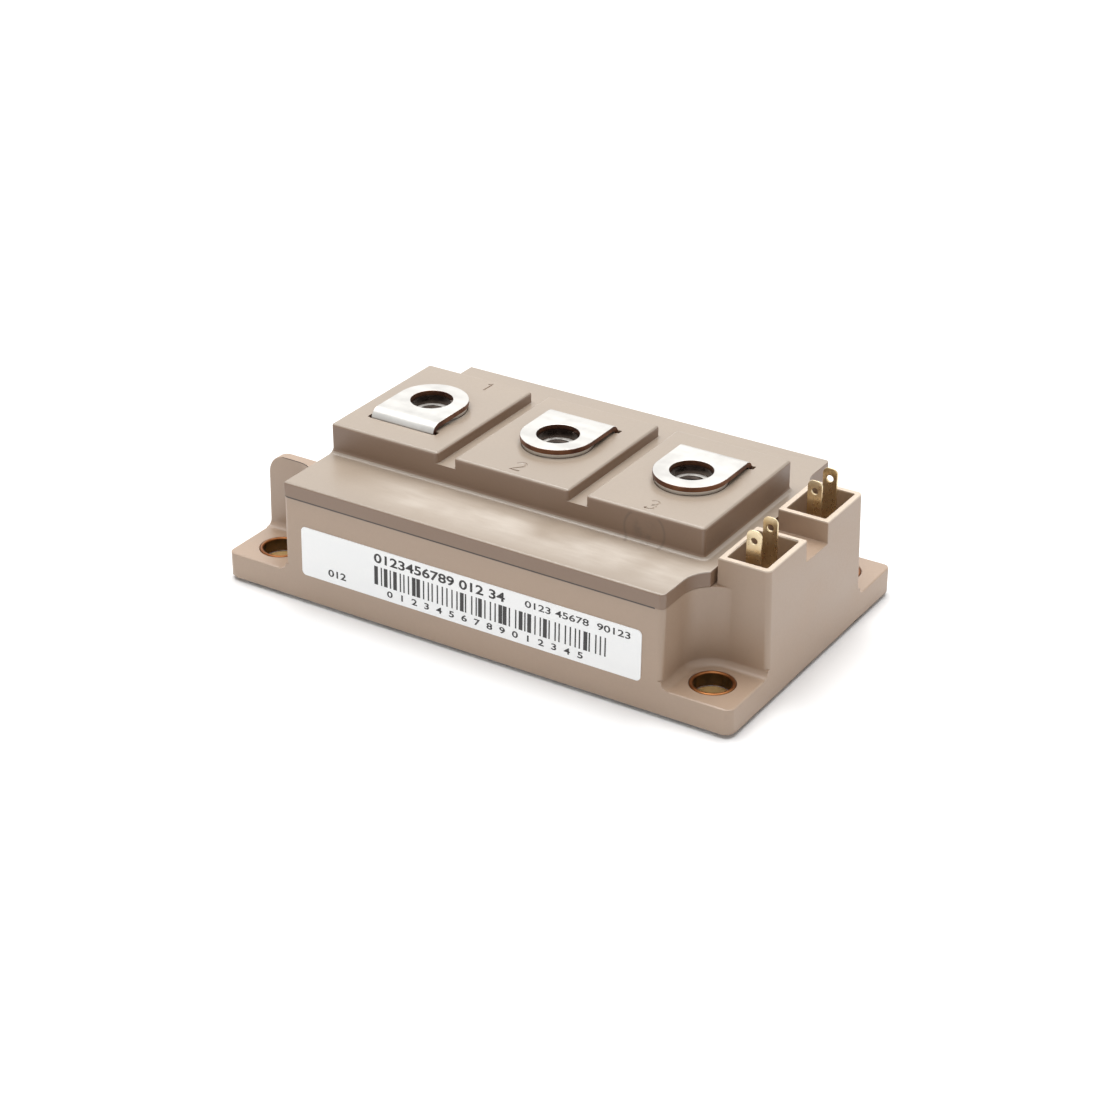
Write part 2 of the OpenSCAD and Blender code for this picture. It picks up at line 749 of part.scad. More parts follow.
// Wires across the gap: the emitter track of half 1 to the collector track of half 2
module bridge_wires() {
    mid_y = (front_track_y - copper_y) / 2;
    end_x = ceramic_x - copper_x + 1.5;
    color("lightgrey") for (k = [1:wires_per_chip]) {
        y = mid_y + (k - (wires_per_chip + 1) / 2) * wire_pitch;
        bond_between([-end_x, y, solder_z], [end_x, y, solder_z], wire_h, wire_d);
    }
}

module gate_wires(i) {
    inset = 0.7;
    arch_h = 2.4;
    near_x = ceramic_x + copper_x - inset;
    far_x = ceramic_x - emitter_x0 - inset;
    inner_y = pin_inner_y - pin_w / 2 + pad_end;
    outer_y = pin_outer_y + pin_w / 2 - pad_end;
    // Where each wire leaves the circuit, and its place across the pad
    routes = [
        [near_x, -outer_y, -outer_y],
        [near_x, -inner_y, -inner_y],
        [far_x, -gate_y, inner_y],
        [far_x, outer_y, outer_y]
    ];
    color("lightgrey") {
        place_half(i) for (x = chip_x)
            translate([x + igbt_side / 2 - gate_pad, 0, 0])
                bond_loop(gate_y, solder_z, igbt_y - igbt_side / 2 + gate_pad, solder_z + chip_t, 1, gate_wire_d);
        if (i == 2) for (r = routes)
            bond_between([r[0], r[1], solder_z], [ledge_x, r[2], ledge_z + pin_t], arch_h, gate_wire_d);
    }
}

// Silicone gel: fills the body round the circuit, with a room over both halves
module silicone_gel() {
    room_z = ledge_z + 2;
    grow = slot_fit;
    color("lightblue") difference() {
        translate([-inner_x + fit, -inner_y + fit, plate_t]) cube([2 * (inner_x - fit), 2 * (inner_y - fit), gel_z - plate_t]);
        slab_at(0, 2 * ceramic_x + ceramic_l + 2 * grow, ceramic_w + 2 * grow, room_z);
        translate([ledge_x - ledge_w / 2 - grow, -pocket_y, 0])
            cube([deep, 2 * pocket_y, ledge_z + pin_t + arm_h + grow]);
        translate([ceramic_x, -pocket_y, 0]) cube([deep, 2 * pocket_y, room_z]);
        for (i = TERMINALS) translate([strap_x[i - 1], leg_side[i - 1] * (leg_y - tab_t / 2), 0])
            slab_at(0, strap_w + 2 * grow, tab_t + 2 * grow, deep);
    }
}

base_plate();
case();
lid();
label();
silicone_gel();
for (i = TERMINALS) main_terminal(i);
for (i = TERMINALS) terminal_nut(i);
for (i = [1:4]) mounting_bushing(i);
for (i = [1:4]) control_tab(i);
for (i = [1, 2]) bottom_copper(i);
for (i = [1, 2]) ceramic(i);
for (i = [1, 2]) top_copper(i);
for (i = [1:4]) chip(i, igbt_y, igbt_side, "dimgray");
for (i = [1:4]) chip(i, diode_y, diode_side, "slategray");
for (i = [1, 2]) power_wires(i);
for (i = [1, 2]) gate_wires(i);
bridge_wires();
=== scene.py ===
"""Looks of a dual power transistor module in the flat 62 mm format, dressed over its CAD model.

The moulded case and lid, the base plate, the bent terminals, the threaded nuts, the sleeves and
the control tabs get detailed copies with softened edges. The label gets bars and plain numbers,
and each terminal has a plain number cut in the block. The circuit inside keeps its CAD solids.
"""

import math

import bmesh
import bpy
from mathutils import Matrix, Vector
from mathutils.kdtree import KDTree


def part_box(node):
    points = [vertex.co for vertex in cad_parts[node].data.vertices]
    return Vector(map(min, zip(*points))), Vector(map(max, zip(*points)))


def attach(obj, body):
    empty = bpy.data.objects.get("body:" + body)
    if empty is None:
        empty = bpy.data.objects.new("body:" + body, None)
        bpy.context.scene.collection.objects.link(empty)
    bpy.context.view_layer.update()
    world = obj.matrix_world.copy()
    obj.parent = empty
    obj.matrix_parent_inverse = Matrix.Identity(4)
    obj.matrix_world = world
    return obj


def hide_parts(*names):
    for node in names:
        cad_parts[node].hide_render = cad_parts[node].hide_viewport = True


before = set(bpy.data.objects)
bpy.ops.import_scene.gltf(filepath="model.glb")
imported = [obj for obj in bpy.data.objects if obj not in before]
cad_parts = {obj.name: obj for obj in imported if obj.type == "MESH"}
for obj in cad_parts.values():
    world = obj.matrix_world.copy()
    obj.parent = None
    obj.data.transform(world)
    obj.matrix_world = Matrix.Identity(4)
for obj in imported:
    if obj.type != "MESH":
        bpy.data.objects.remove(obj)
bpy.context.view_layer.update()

MM = 0.001


# Sizes and places of the CAD model, in metres

TERMINALS = (1, 2, 3)
SCREW_HOLES = CONTROL_TABS = (1, 2, 3, 4)
DRAFT = math.radians(1.5)          # lean of the moulded outer faces
TAB_T = 1.0 * MM                   # sheet of a main terminal
TAB_GAP = 0.5 * MM                 # room between a tab and the block
LEG_Y = 9.8 * MM                   # a terminal's leg, from the middle line
BLOCK_RISE = 6.0 * MM              # the terminal block over the slab
SLAB_T = 3.0 * MM                  # the lid's slab over the case
BORE_R = 2.5 * MM                  # core hole of a nut
SLEEVE_R = (3.4 * MM, 4.1 * MM)    # a sleeve, inside and outside
PIN_T = 0.5 * MM                   # sheet of a control tab
PIN_HALF = 1.4 * MM                # half the width of a control tab
PIN_HOLE_DOWN = 2.0 * MM           # a control tab's hole, below the tip

TAB_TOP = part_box("main_terminal_1")[1].z
BLOCK_Z = TAB_TOP - TAB_T - TAB_GAP
SLAB_Z = BLOCK_Z - BLOCK_RISE
RIM_Z = SLAB_Z - SLAB_T
BOX_RIM_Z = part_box("case")[1].z
LABEL_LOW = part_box("label")[0]


def middle(node):
    """The middle of a CAD node's box."""
    low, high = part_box(node)
    return (low + high) / 2


# Shader helpers

def srgb(red, green, blue):
    """A display colour, 0 to 255, as the linear colour that a shader takes."""
    def linear(value):
        value /= 255
        return value / 12.92 if value <= 0.04045 else ((value + 0.055) / 1.055) ** 2.4
    return (linear(red), linear(green), linear(blue), 1.0)


def shade(colour, factor):
    return tuple(part * factor for part in colour[:3]) + (1.0,)


class Tree:
    """Adds nodes to a material, a world or a node group and joins them by socket name."""

    def __init__(self, tree):
        self.tree = tree
        self.link = tree.links.new

    def add(self, kind, inputs=None, **settings):
        node = self.tree.nodes.new(kind)
        for key, value in settings.items():
            setattr(node, key, value)
        for name, value in (inputs or {}).items():
            if isinstance(value, bpy.types.NodeSocket):
                self.link(value, node.inputs[name])
            else:
                node.inputs[name].default_value = value
        return node

    def place(self):
        """The Object coordinates."""
        return self.add("ShaderNodeTexCoord").outputs["Object"]

    def split(self, vector):
        return self.add("ShaderNodeSeparateXYZ", {0: vector}).outputs

    def vector(self, x=0.0, y=0.0, z=0.0):
        return self.add("ShaderNodeCombineXYZ", {"X": x, "Y": y, "Z": z}).outputs[0]

    def math(self, operation, a, b=0.0, clamp=False):
        node = self.add("ShaderNodeMath", {0: a, 1: b}, operation=operation, use_clamp=clamp)
        return node.outputs[0]

    def product(self, first, *others):
        for other in others:
            first = self.math("MULTIPLY", first, other)
        return first

    def distance(self, a, b):
        """How far two values are apart."""
        return self.math("ABSOLUTE", self.math("SUBTRACT", a, b))

    def noise(self, vector, scale, detail=2.0, roughness=0.5):
        sockets = {"Vector": vector, "Scale": scale, "Detail": detail, "Roughness": roughness}
        return self.add("ShaderNodeTexNoise", sockets).outputs["Fac"]

    def spread(self, value, low, high, to_low=0.0, to_high=1.0, how="SMOOTHSTEP"):
        """Maps low..high to to_low..to_high."""
        sockets = {"Value": value, "From Min": low, "From Max": high,
                   "To Min": to_low, "To Max": to_high}
        return self.add("ShaderNodeMapRange", sockets, interpolation_type=how).outputs["Result"]

    def between(self, factor, a, b):
        """The value a where the factor is 0, b where it is 1."""
        return self.add("ShaderNodeMix", {0: factor, 2: a, 3: b}, data_type="FLOAT").outputs[0]

    def blend(self, factor, a, b):
        """The colour a where the factor is 0, b where it is 1."""
        return self.add("ShaderNodeMix", {0: factor, 6: a, 7: b}, data_type="RGBA").outputs[2]

    def use(self, shared, values):
        """Puts a shared node group in the tree, with some of its inputs set."""
        return self.add("ShaderNodeGroup", values, node_tree=shared).outputs

    def press(self, shader, height, strength, relief):
        """Bends the shader's normals by a height."""
        sockets = {"Height": height, "Strength": strength, "Distance": relief}
        self.link(self.add("ShaderNodeBump", sockets).outputs["Normal"], shader.inputs["Normal"])


def group(name, inputs, outputs):
    """An empty node group with named values: the group, its tree helper, and its two ends."""
    made = bpy.data.node_groups.new(name, "ShaderNodeTree")
    for label, value in inputs.items():
        sock = made.interface.new_socket(label, in_out="INPUT", socket_type="NodeSocketFloat")
        sock.default_value = value
    for label in outputs:
        made.interface.new_socket(label, in_out="OUTPUT", socket_type="NodeSocketFloat")
    given = made.nodes.new("NodeGroupInput").outputs
    return made, Tree(made), given, made.nodes.new("NodeGroupOutput").inputs


# Shared effects. The scales of the noises are in cycles a metre.

def moulding_skin_group():
    """Skin of moulded glass-filled plastic: clouds drawn out by the flow, flecks and fine grain."""
    made, tree, given, out = group(
        "moulding_skin", {"Grain scale": 2600.0, "Cloud scale": 55.0, "Fleck scale": 1500.0},
        ("Tone", "Gloss", "Height"))
    place = tree.place()
    flow = tree.add("ShaderNodeMapping", {"Vector": place, "Scale": (0.35, 1.0, 1.6)})
    cloud = tree.noise(flow.outputs["Vector"], given["Cloud scale"], 3.0, 0.55)
    fleck = tree.noise(place, given["Fleck scale"], 2.0, 0.6)
    grain = tree.noise(place, given["Grain scale"], 3.0, 0.65)
    tone = tree.math("ADD", tree.product(cloud, 0.75), tree.product(fleck, 0.25))
    gloss = tree.math("ADD", tree.product(cloud, 0.6), tree.product(grain, 0.4))
    tree.link(tone, out["Tone"])
    tree.link(gloss, out["Gloss"])
    tree.link(tree.math("ADD", grain, tree.product(cloud, 0.8)), out["Height"])
    return made


def scuff_and_sheen_group():
    """Rubbed patches and painted sheen on a level face: pale patches that are partly wear and
    partly stand in for gloss, in a band along X that begins at From X, broken up by noise.
    """
    made, tree, given, out = group(
        "handling_scuffs_and_painted_sheen",
        {"Band middle": 0.0, "Band half width": 6 * MM, "Height": 0.0, "From X": 0.0,
         "Fade": 12 * MM, "Patch scale": 75.0, "Streak scale": 190.0, "Amount": 1.0},
        ("Mask",))
    place = tree.place()
    axis = tree.split(place)
    off_band = tree.math("DIVIDE", tree.distance(axis["Y"], given["Band middle"]),
                         given["Band half width"])
    in_band = tree.spread(off_band, 0.35, 1.15, 1.0, 0.0, how="LINEAR")
    on_top = tree.math("LESS_THAN", tree.distance(axis["Z"], given["Height"]), 0.25 * MM)
    past = tree.math("SUBTRACT", axis["X"], given["From X"])
    begun = tree.spread(past, tree.product(given["Fade"], -1.0), given["Fade"])
    drawn = tree.add("ShaderNodeMapping",
                     {"Vector": place, "Rotation": (0, 0, 0.25), "Scale": (0.4, 1.6, 1.0)})
    patch = tree.spread(tree.noise(place, given["Patch scale"], 2.0), 0.22, 0.62)
    streak_noise = tree.noise(drawn.outputs["Vector"], given["Streak scale"], 4.0, 0.6)
    streaked = tree.spread(streak_noise, 0.25, 0.75, 0.4, 1.0)
    mask = tree.product(patch, streaked, in_band, on_top, begun)
    tree.link(tree.math("MULTIPLY", mask, given["Amount"], clamp=True), out["Mask"])
    return made


def height_band_group():
    """A soft band at one height, up to a given X: 1 in the middle, 0 past the half width.
    It shows on upright faces, and Level says how much of it shows on level ones."""
    made, tree, given, out = group(
        "height_band", {"Height": 0.0, "Half width": 0.1 * MM, "Up to X": 1.0, "Level": 0.0},
        ("Mask",))
    axis = tree.split(tree.place())
    facing = tree.split(tree.add("ShaderNodeNewGeometry").outputs["True Normal"])["Z"]
    level = tree.math("GREATER_THAN", tree.math("ABSOLUTE", facing), 0.5)
    shown = tree.between(level, 1.0, given["Level"])
    off = tree.math("DIVIDE", tree.distance(axis["Z"], given["Height"]), given["Half width"])
    reached = tree.math("LESS_THAN", axis["X"], given["Up to X"])
    tree.link(tree.product(tree.spread(off, 0.4, 1.0, 1.0, 0.0), reached, shown), out["Mask"])
    return made


def gate_mark_group():
    """A faint ring left by the mould's gate on an upright face between two values of Y,
    with a few blots in it. It ends softly below the edge at Top."""
    made, tree, given, out = group(
        "gate_mark",
        {"X": 0.0, "Z": 0.0, "Radius": 4.5 * MM, "From Y": 0.0, "To Y": 0.0, "Top": 0.0},
        ("Mask",))
    place = tree.place()
    axis = tree.split(place)
    across = tree.math("SUBTRACT", axis["X"], given["X"])
    up = tree.math("SUBTRACT", axis["Z"], given["Z"])
    reach = tree.math("SQRT", tree.math("ADD", tree.product(across, across), tree.product(up, up)))
    share = tree.math("DIVIDE", reach, given["Radius"])
    ring = tree.spread(tree.distance(share, 0.9), 0.0, 0.1, 0.45, 0.0)
    blot = tree.product(tree.spread(share, 0.3, 0.7, 0.5, 0.0),
                        tree.spread(tree.noise(place, 420.0, 3.0), 0.42, 0.66))
    behind = tree.math("GREATER_THAN", axis["Y"], given["From Y"])
    before = tree.math("LESS_THAN", axis["Y"], given["To Y"])
    below_top = tree.math("SUBTRACT", axis["Z"], given["Top"])
    fading = tree.spread(below_top, -1.0 * MM, -0.4 * MM, 1.0, 0.0)
    tree.link(tree.product(tree.math("MAXIMUM", ring, blot), behind, before, fading), out["Mask"])
    return made


def sheet_grain_group():
    """Rolled and plated sheet metal: drawn streaks along X, small pits and a stained tone."""
    made, tree, given, out = group(
        "sheet_grain",
        {"Streak scale": 900.0, "Stretch": 0.06, "Stain scale": 190.0, "Pit scale": 3200.0},
        ("Streak", "Stain", "Height"))
    place = tree.place()
    stretch = tree.vector(given["Stretch"], 1.0, 1.0)
    drawn = tree.add("ShaderNodeVectorMath", {0: place, 1: stretch}, operation="MULTIPLY")
    streak = tree.noise(drawn.outputs["Vector"], given["Streak scale"], 4.0, 0.6)
    stain = tree.noise(place, given["Stain scale"], 3.0, 0.6)
    pits = tree.noise(place, given["Pit scale"], 2.0, 0.5)
    tree.link(streak, out["Streak"])
    tree.link(tree.spread(stain, 0.38, 0.72), out["Stain"])
    tree.link(tree.math("ADD", streak, tree.product(pits, 0.5)), out["Height"])
    return made


SKIN = moulding_skin_group()
SCUFFS_AND_SHEEN = scuff_and_sheen_group()
BAND = height_band_group()
GATE_MARK = gate_mark_group()
SHEET = sheet_grain_group()


# Materials

PLASTIC_RELIEF = 0.2 * MM
SHEET_RELIEF = 0.1 * MM
NOISE_RANGE = (0.3, 0.7)           # where most of a noise's values lie


def material(name, constants, viewport):
    """A new material with a Principled shader: its tree helper and shader node."""
    made = bpy.data.materials.new(name)
    made.use_nodes = True
    made.diffuse_color = viewport
    made.node_tree.nodes.clear()
    tree = Tree(made.node_tree)
    shader = tree.add("ShaderNodeBsdfPrincipled", constants)
    tree.add("ShaderNodeOutputMaterial", {"Surface": shader.outputs[0]})
    return made, tree, shader


def moulded_plastic(name, colour, dark, rough=(0.34, 0.5), grain=2600.0, bump=0.05,
                    specular=0.5, marks=()):
    """Moulded plastic. Each mark is a mask group, its values, its colour and its dulling,
    laid over the base."""
    made, tree, shader = material(name, {"Specular IOR Level": specular}, colour)
    skin = tree.use(SKIN, {"Grain scale": grain})
    base = tree.blend(tree.spread(skin["Tone"], *NOISE_RANGE), dark, colour)
    roughness = tree.spread(skin["Gloss"], *NOISE_RANGE, *rough)
    for shared, values, tint, dulling in marks:
        mask = tree.use(shared, values)["Mask"]
        base = tree.blend(mask, base, tint)
        roughness = tree.math("ADD", roughness, tree.product(mask, dulling))
    tree.link(base, shader.inputs["Base Color"])
    tree.link(roughness, shader.inputs["Roughness"])
    tree.press(shader, skin["Height"], bump, PLASTIC_RELIEF)
    return made


def sheet_metal(name, colour, stained, rough=(0.2, 0.36), streaks=900.0, stretch=1.0, bump=0.06,
                metallic=1.0):
    """Metal with a stained tone. A stretch below 1 draws its streaks out along X."""
    made, tree, shader = material(name, {"Metallic": metallic}, colour)
    grain = tree.use(SHEET, {"Streak scale": streaks, "Stretch": stretch})
    tree.link(tree.blend(grain["Stain"], colour, stained), shader.inputs["Base Color"])
    tree.link(tree.spread(grain["Streak"], *NOISE_RANGE, *rough), shader.inputs["Roughness"])
    tree.press(shader, grain["Height"], bump, SHEET_RELIEF)
    return made


DRAWN = 0.06                       # stretch of sheet that was rolled along X
EVERYWHERE = 1.0                   # a bound far past the part, in metres
TAN = srgb(168, 143, 121)
LID_TAN = srgb(160, 144, 127)
# Painted shadow: a dark line along the joint of case and lid, standing in for the shade in the gap
# between them.
PARTING_PAINTED_SHADOW = (BAND, {"Height": RIM_Z, "Half width": 0.28 * MM, "Up to X": 38.5 * MM},
           shade(TAN, 0.06), 0.2)
# Painted shade: every upright face of the lid is darker than its tops, standing in for the shade
# that falls on them.
LID_SIDES_PAINTED_SHADE = (BAND, {"Height": SLAB_Z, "Half width": EVERYWHERE, "Up to X": EVERYWHERE},
             srgb(125, 98, 76), 0.1)
# Painted highlight: a light band at the rim of the control boxes, standing in for the light and
# sheen that the rim catches.
BOX_RIM_PAINTED_HIGHLIGHT = (BAND, {"Height": BOX_RIM_Z, "Half width": 0.4 * MM, "Up to X": EVERYWHERE,
                  "Level": 1.0}, srgb(206, 188, 168), 0.1)
# Handling scuffs and painted sheen: pale patches on the slab's front ledge. They are partly wear,
# and partly stand in for the glossy sheen on it.
SLAB_SCUFFS_AND_SHEEN = (SCUFFS_AND_SHEEN, {"Band middle": -23 * MM, "Height": SLAB_Z, "From X": -22 * MM,
                        "Amount": 0.8}, srgb(206, 196, 184), 0.06)
BLOCK_MARK = (GATE_MARK, {"X": 27.8 * MM, "Z": 26.2 * MM, "From Y": -17.2 * MM,
                          "To Y": -15.5 * MM, "Top": BLOCK_Z}, srgb(92, 72, 58), 0.12)

HOUSING = moulded_plastic("case_moulding", TAN, shade(TAN, 0.93), specular=1.0,
                          marks=(PARTING_PAINTED_SHADOW, BOX_RIM_PAINTED_HIGHLIGHT))
LID = moulded_plastic("lid_moulding", LID_TAN, shade(LID_TAN, 0.92), rough=(0.28, 0.44),
                      specular=1.0, marks=(LID_SIDES_PAINTED_SHADE, PARTING_PAINTED_SHADOW, SLAB_SCUFFS_AND_SHEEN, BLOCK_MARK))
NICKEL = sheet_metal("plated_tab_face", srgb(201, 199, 195), srgb(188, 186, 182),
                     rough=(0.38, 0.5), streaks=500.0, stretch=DRAWN, bump=0.03)
CUT_EDGE = sheet_metal("sheared_copper_edge", srgb(122, 84, 62), srgb(78, 48, 38),
                       rough=(0.32, 0.5), metallic=0.8)
STEEL = sheet_metal("plated_nut", srgb(214, 211, 206), srgb(204, 200, 194),
                    rough=(0.3, 0.36), bump=0.003)
FACED = sheet_metal("faced_nut_floor", srgb(232, 229, 224), srgb(212, 208, 202),
                    rough=(0.5, 0.65), bump=0.02)
# Painted shade: a dark metal for the counterbore's walls and the thread, standing in for the shade
# and dark reflections inside the bore.
THREAD_PAINTED_SHADE = sheet_metal("cut_thread_painted_shade", srgb(86, 76, 70), srgb(58, 50, 45),
                     rough=(0.25, 0.4), bump=0.01, metallic=0.9)
SLEEVE = sheet_metal("passivated_sleeve", srgb(156, 104, 64), srgb(118, 72, 42),
                     rough=(0.3, 0.45), bump=0.01)
SLEEVE_BORE = sheet_metal("sleeve_bore", srgb(96, 70, 36), srgb(60, 42, 20),
                          rough=(0.3, 0.5), metallic=0.8)
TONED_TAB = sheet_metal("toned_control_tab", srgb(228, 210, 174), srgb(206, 180, 134),
                        rough=(0.26, 0.32), bump=0.004)
PLATE = sheet_metal("nickel_base_plate", srgb(224, 226, 228), srgb(208, 209, 209),
                    rough=(0.3, 0.48), streaks=500.0, stretch=DRAWN)
PLATE_HOLE = sheet_metal("drilled_plate_wall", srgb(210, 182, 132), srgb(178, 146, 98),
                         rough=(0.3, 0.4), bump=0.004)
COPPER = sheet_metal("bare_copper", srgb(214, 138, 98), srgb(172, 98, 66), rough=(0.3, 0.5))
WIRE = sheet_metal("drawn_wire", srgb(214, 214, 216), srgb(190, 190, 194),
                   rough=(0.2, 0.34), stretch=DRAWN)
CHIP = sheet_metal("chip_face", srgb(120, 124, 134), srgb(96, 98, 106),
                   rough=(0.16, 0.28), metallic=0.7)
CERAMIC = moulded_plastic("white_ceramic", srgb(236, 234, 228), srgb(226, 223, 216),
                          rough=(0.5, 0.7), bump=0.03)
GEL = moulded_plastic("silicone_gel", srgb(214, 220, 222), srgb(204, 211, 214),
                      rough=(0.12, 0.2), bump=0.02)
FILM = moulded_plastic("label_film", srgb(252, 252, 251), srgb(248, 249, 249),
                       rough=(0.3, 0.42), grain=1200.0, bump=0.02)
INK = moulded_plastic("label_print", srgb(58, 56, 56), srgb(40, 39, 39),
                      rough=(0.35, 0.5), bump=0.02)


# Mesh helpers

SAME_PLACE = 0.001 * MM            # points nearer than this are one point
WELD = 0.01 * MM                   # how far the corners of a CAD node's triangles may gape
FLAT_TURN = math.radians(0.1)      # faces that turn by less are one flat face
SAME_PATCH = 0.999998              # cosine between the normals inside a flat patch
SHARP_TURN = math.radians(32)      # edges that turn by more are softened


def add_object(name, data):
    made = bpy.data.objects.new(name, data)
    bpy.context.scene.collection.objects.link(made)
    return made


def add_shape(name, shape):
    """The finished bmesh as a new object."""
    mesh = bpy.data.meshes.new(name)
    shape.to_mesh(mesh)
    shape.free()
    return add_object(name, mesh)


def evaluated(piece):
    return piece.evaluated_get(bpy.context.evaluated_depsgraph_get())


def mesh_of_curve(name, curve):
    """The surface of a curve or of text, as a bmesh."""
    drawn = add_object(name, curve)
    mesh = bpy.data.meshes.new_from_object(evaluated(drawn))
    bpy.data.objects.remove(drawn)
    shape = bmesh.new()
    shape.from_mesh(mesh)
    bpy.data.meshes.remove(mesh)
    return shape


def joined_copy(node, name):
    """A copy of a CAD node with its loose triangles joined and its flat faces whole."""
    shape = bmesh.new()
    shape.from_mesh(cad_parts[node].data)
    bmesh.ops.remove_doubles(shape, verts=shape.verts, dist=WELD)
    bmesh.ops.dissolve_limit(shape, angle_limit=FLAT_TURN, verts=shape.verts, edges=shape.edges)
    copy = add_shape(name, shape)
    for label in ("custom_normal", "sharp_face", "sharp_edge"):
        if label in copy.data.attributes:
            copy.data.attributes.remove(copy.data.attributes[label])
    copy.data.materials.clear()
    return copy


def sharp_edges(shape):
    return [edge for edge in shape.edges
            if len(edge.link_faces) == 2 and edge.calc_face_angle(0) > SHARP_TURN]


def search_tree(points):
    tree = KDTree(len(points))
    for index, point in enumerate(points):
        tree.insert(point, index)
    tree.balance()
    return tree


def points_along(edges, step):
    """Points along the edges, no farther apart than the step."""
    points = []
    for edge in edges:
        a, b = edge.verts[0].co, edge.verts[1].co
        count = max(1, math.ceil((b - a).length / step))
        points += [a.lerp(b, k / count) for k in range(count + 1)]
    return points


def thrown_from(made, known, near_edges, reach):
    """Where the rounded mesh has new points farther than the reach from every sharp edge:
    the known points, by index, that lie round the place where each left the edge."""
    lost = {vert.index for vert in made.vertices
            if known.find(vert.co)[2] > 2 * SAME_PLACE and near_edges.find(vert.co)[2] > reach}
    sources = set()
    for edge in made.edges:
        a, b = edge.vertices
        if (a in lost) != (b in lost):
            kept = made.vertices[b if a in lost else a].co
            sources.update(index for _, index, _ in known.find_range(kept, reach))
    return sources


def soften(piece, width, segments=2):
    """Rounds the sharp edges. Where very short edges would throw a corner of the rounding
    far from its edge, the edges there are left sharp."""
    tries, least_reach = 6, 0.4 * MM
    bevel = piece.modifiers.new("soft_edges", "BEVEL")
    bevel.width = width
    bevel.segments = segments
    bevel.limit_method = "WEIGHT"
    bevel.use_clamp_overlap = False
    bevel.miter_outer = "MITER_ARC"
    shape = bmesh.new()
    shape.from_mesh(piece.data)
    weight = shape.edges.layers.float.new("bevel_weight_edge")
    rounded = sharp_edges(shape)
    for edge in rounded:
        edge[weight] = 1.0
    known = search_tree([vert.co for vert in shape.verts])
    near_edges = search_tree(points_along(rounded, width))
    shape.verts.ensure_lookup_table()
    for _ in range(tries):
        shape.to_mesh(piece.data)
        made = evaluated(piece).to_mesh()
        sources = thrown_from(made, known, near_edges, max(3 * width, least_reach))
        if not sources:
            break
        for index in sources:
            for edge in shape.verts[index].link_edges:
                edge[weight] = 0.0
    shape.free()


def grown(seed, done, joined):
    """The faces reached from a first one over the edges that the rule lets through."""
    done.add(seed)
    reached = [seed]
    for face in reached:
        for edge in face.edges:
            for other in edge.link_faces:
                if other not in done and joined(edge, other):
                    done.add(other)
                    reached.append(other)
    return reached


def patch_areas(shape):
    """For each face, the area of the flat patch that it is part of."""
    area, done = {}, set()
    for seed in shape.faces:
        if seed not in done:
            patch = grown(seed, done, lambda _, face: face.normal.dot(seed.normal) > SAME_PATCH)
            whole = sum(face.calc_area() for face in patch)
            area.update((face, whole) for face in patch)
    return area


def fans(vert):
    """The faces round a point, in groups that no sharp edge parts."""
    done = set()
    for seed in vert.link_faces:
        if seed not in done:
            yield grown(seed, done, lambda edge, _: edge.smooth and vert in edge.verts)


def weigh_normals(mesh):
    """Corner normals that follow the larger flat patch, so that flat faces stay flat up to
    their soft edges."""
    shape = bmesh.new()
    shape.from_mesh(mesh)
    area = patch_areas(shape)
    found = {}
    for vert in shape.verts:
        for fan in fans(vert):
            normal = sum((face.normal * area[face] for face in fan), Vector()).normalized()
            for face in fan:
                found[face.index, vert.index] = normal
    normals = [found[face.index, loop.vert.index] for face in shape.faces for loop in face.loops]
    shape.free()
    mesh.normals_split_custom_set(normals)


def keep_inside(mesh, before):
    """Draws back the points that a rounding threw past the box that the mesh had before."""
    for axis in range(3):
        places = [vert.co[axis] for vert in before.vertices]
        low, high = min(places), max(places)
        for vert in mesh.vertices:
            vert.co[axis] = min(max(vert.co[axis], low), high)


def settle(piece, smooth=35.0):
    """Turns the piece with its modifiers into a plain mesh: smooth over soft edges, flat
    faces flat."""
    mesh = bpy.data.meshes.new_from_object(evaluated(piece))
    piece.modifiers.clear()
    old = piece.data
    keep_inside(mesh, old)
    piece.data = mesh
    bpy.data.meshes.remove(old)
    if "bevel_weight_edge" in mesh.attributes:
        mesh.attributes.remove(mesh.attributes["bevel_weight_edge"])
    mesh.shade_smooth()
    mesh.set_sharp_from_angle(angle=math.radians(smooth))
    weigh_normals(mesh)
    mesh.name = piece.name
    return piece


def cut_away(piece, cutters):
    """Takes the closed cutters off the piece, settles it and drops the cutters."""
    for cutter in cutters:
        cut = piece.modifiers.new("cut", "BOOLEAN")
        cut.object = cutter
        cut.operation = "DIFFERENCE"
        cut.solver = "EXACT"
    settle(piece)
    for cutter in cutters:
        bpy.data.objects.remove(cutter)
    return piece


def dress(piece, *materials):
    for made in materials:
        piece.data.materials.append(made)
    return piece


def finish_piece(piece, slot, *nodes):
    """Hangs the piece on the root and hides the CAD nodes that it stands in for. The slot is not
    used.
    """
    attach(piece, "root")
    if nodes:
        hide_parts(*nodes)


def revolved(name, profile, steps):
    """A closed ring of (radius, height) points turned round Z."""
    shape = bmesh.new()
    rings = []
    for step in range(steps):
        turn = 2 * math.pi * step / steps
        rings.append([shape.verts.new((r * math.cos(turn), r * math.sin(turn), z))
                      for r, z in profile])
    for a, b in zip(rings, rings[1:] + rings[:1]):
        for i in range(len(profile)):
            j = (i + 1) % len(profile)
            shape.faces.new((a[i], b[i], b[j], a[j]))
    bmesh.ops.remove_doubles(shape, verts=shape.verts, dist=SAME_PLACE / 10)
    bmesh.ops.recalc_face_normals(shape, faces=shape.faces)
    return add_shape(name, shape)


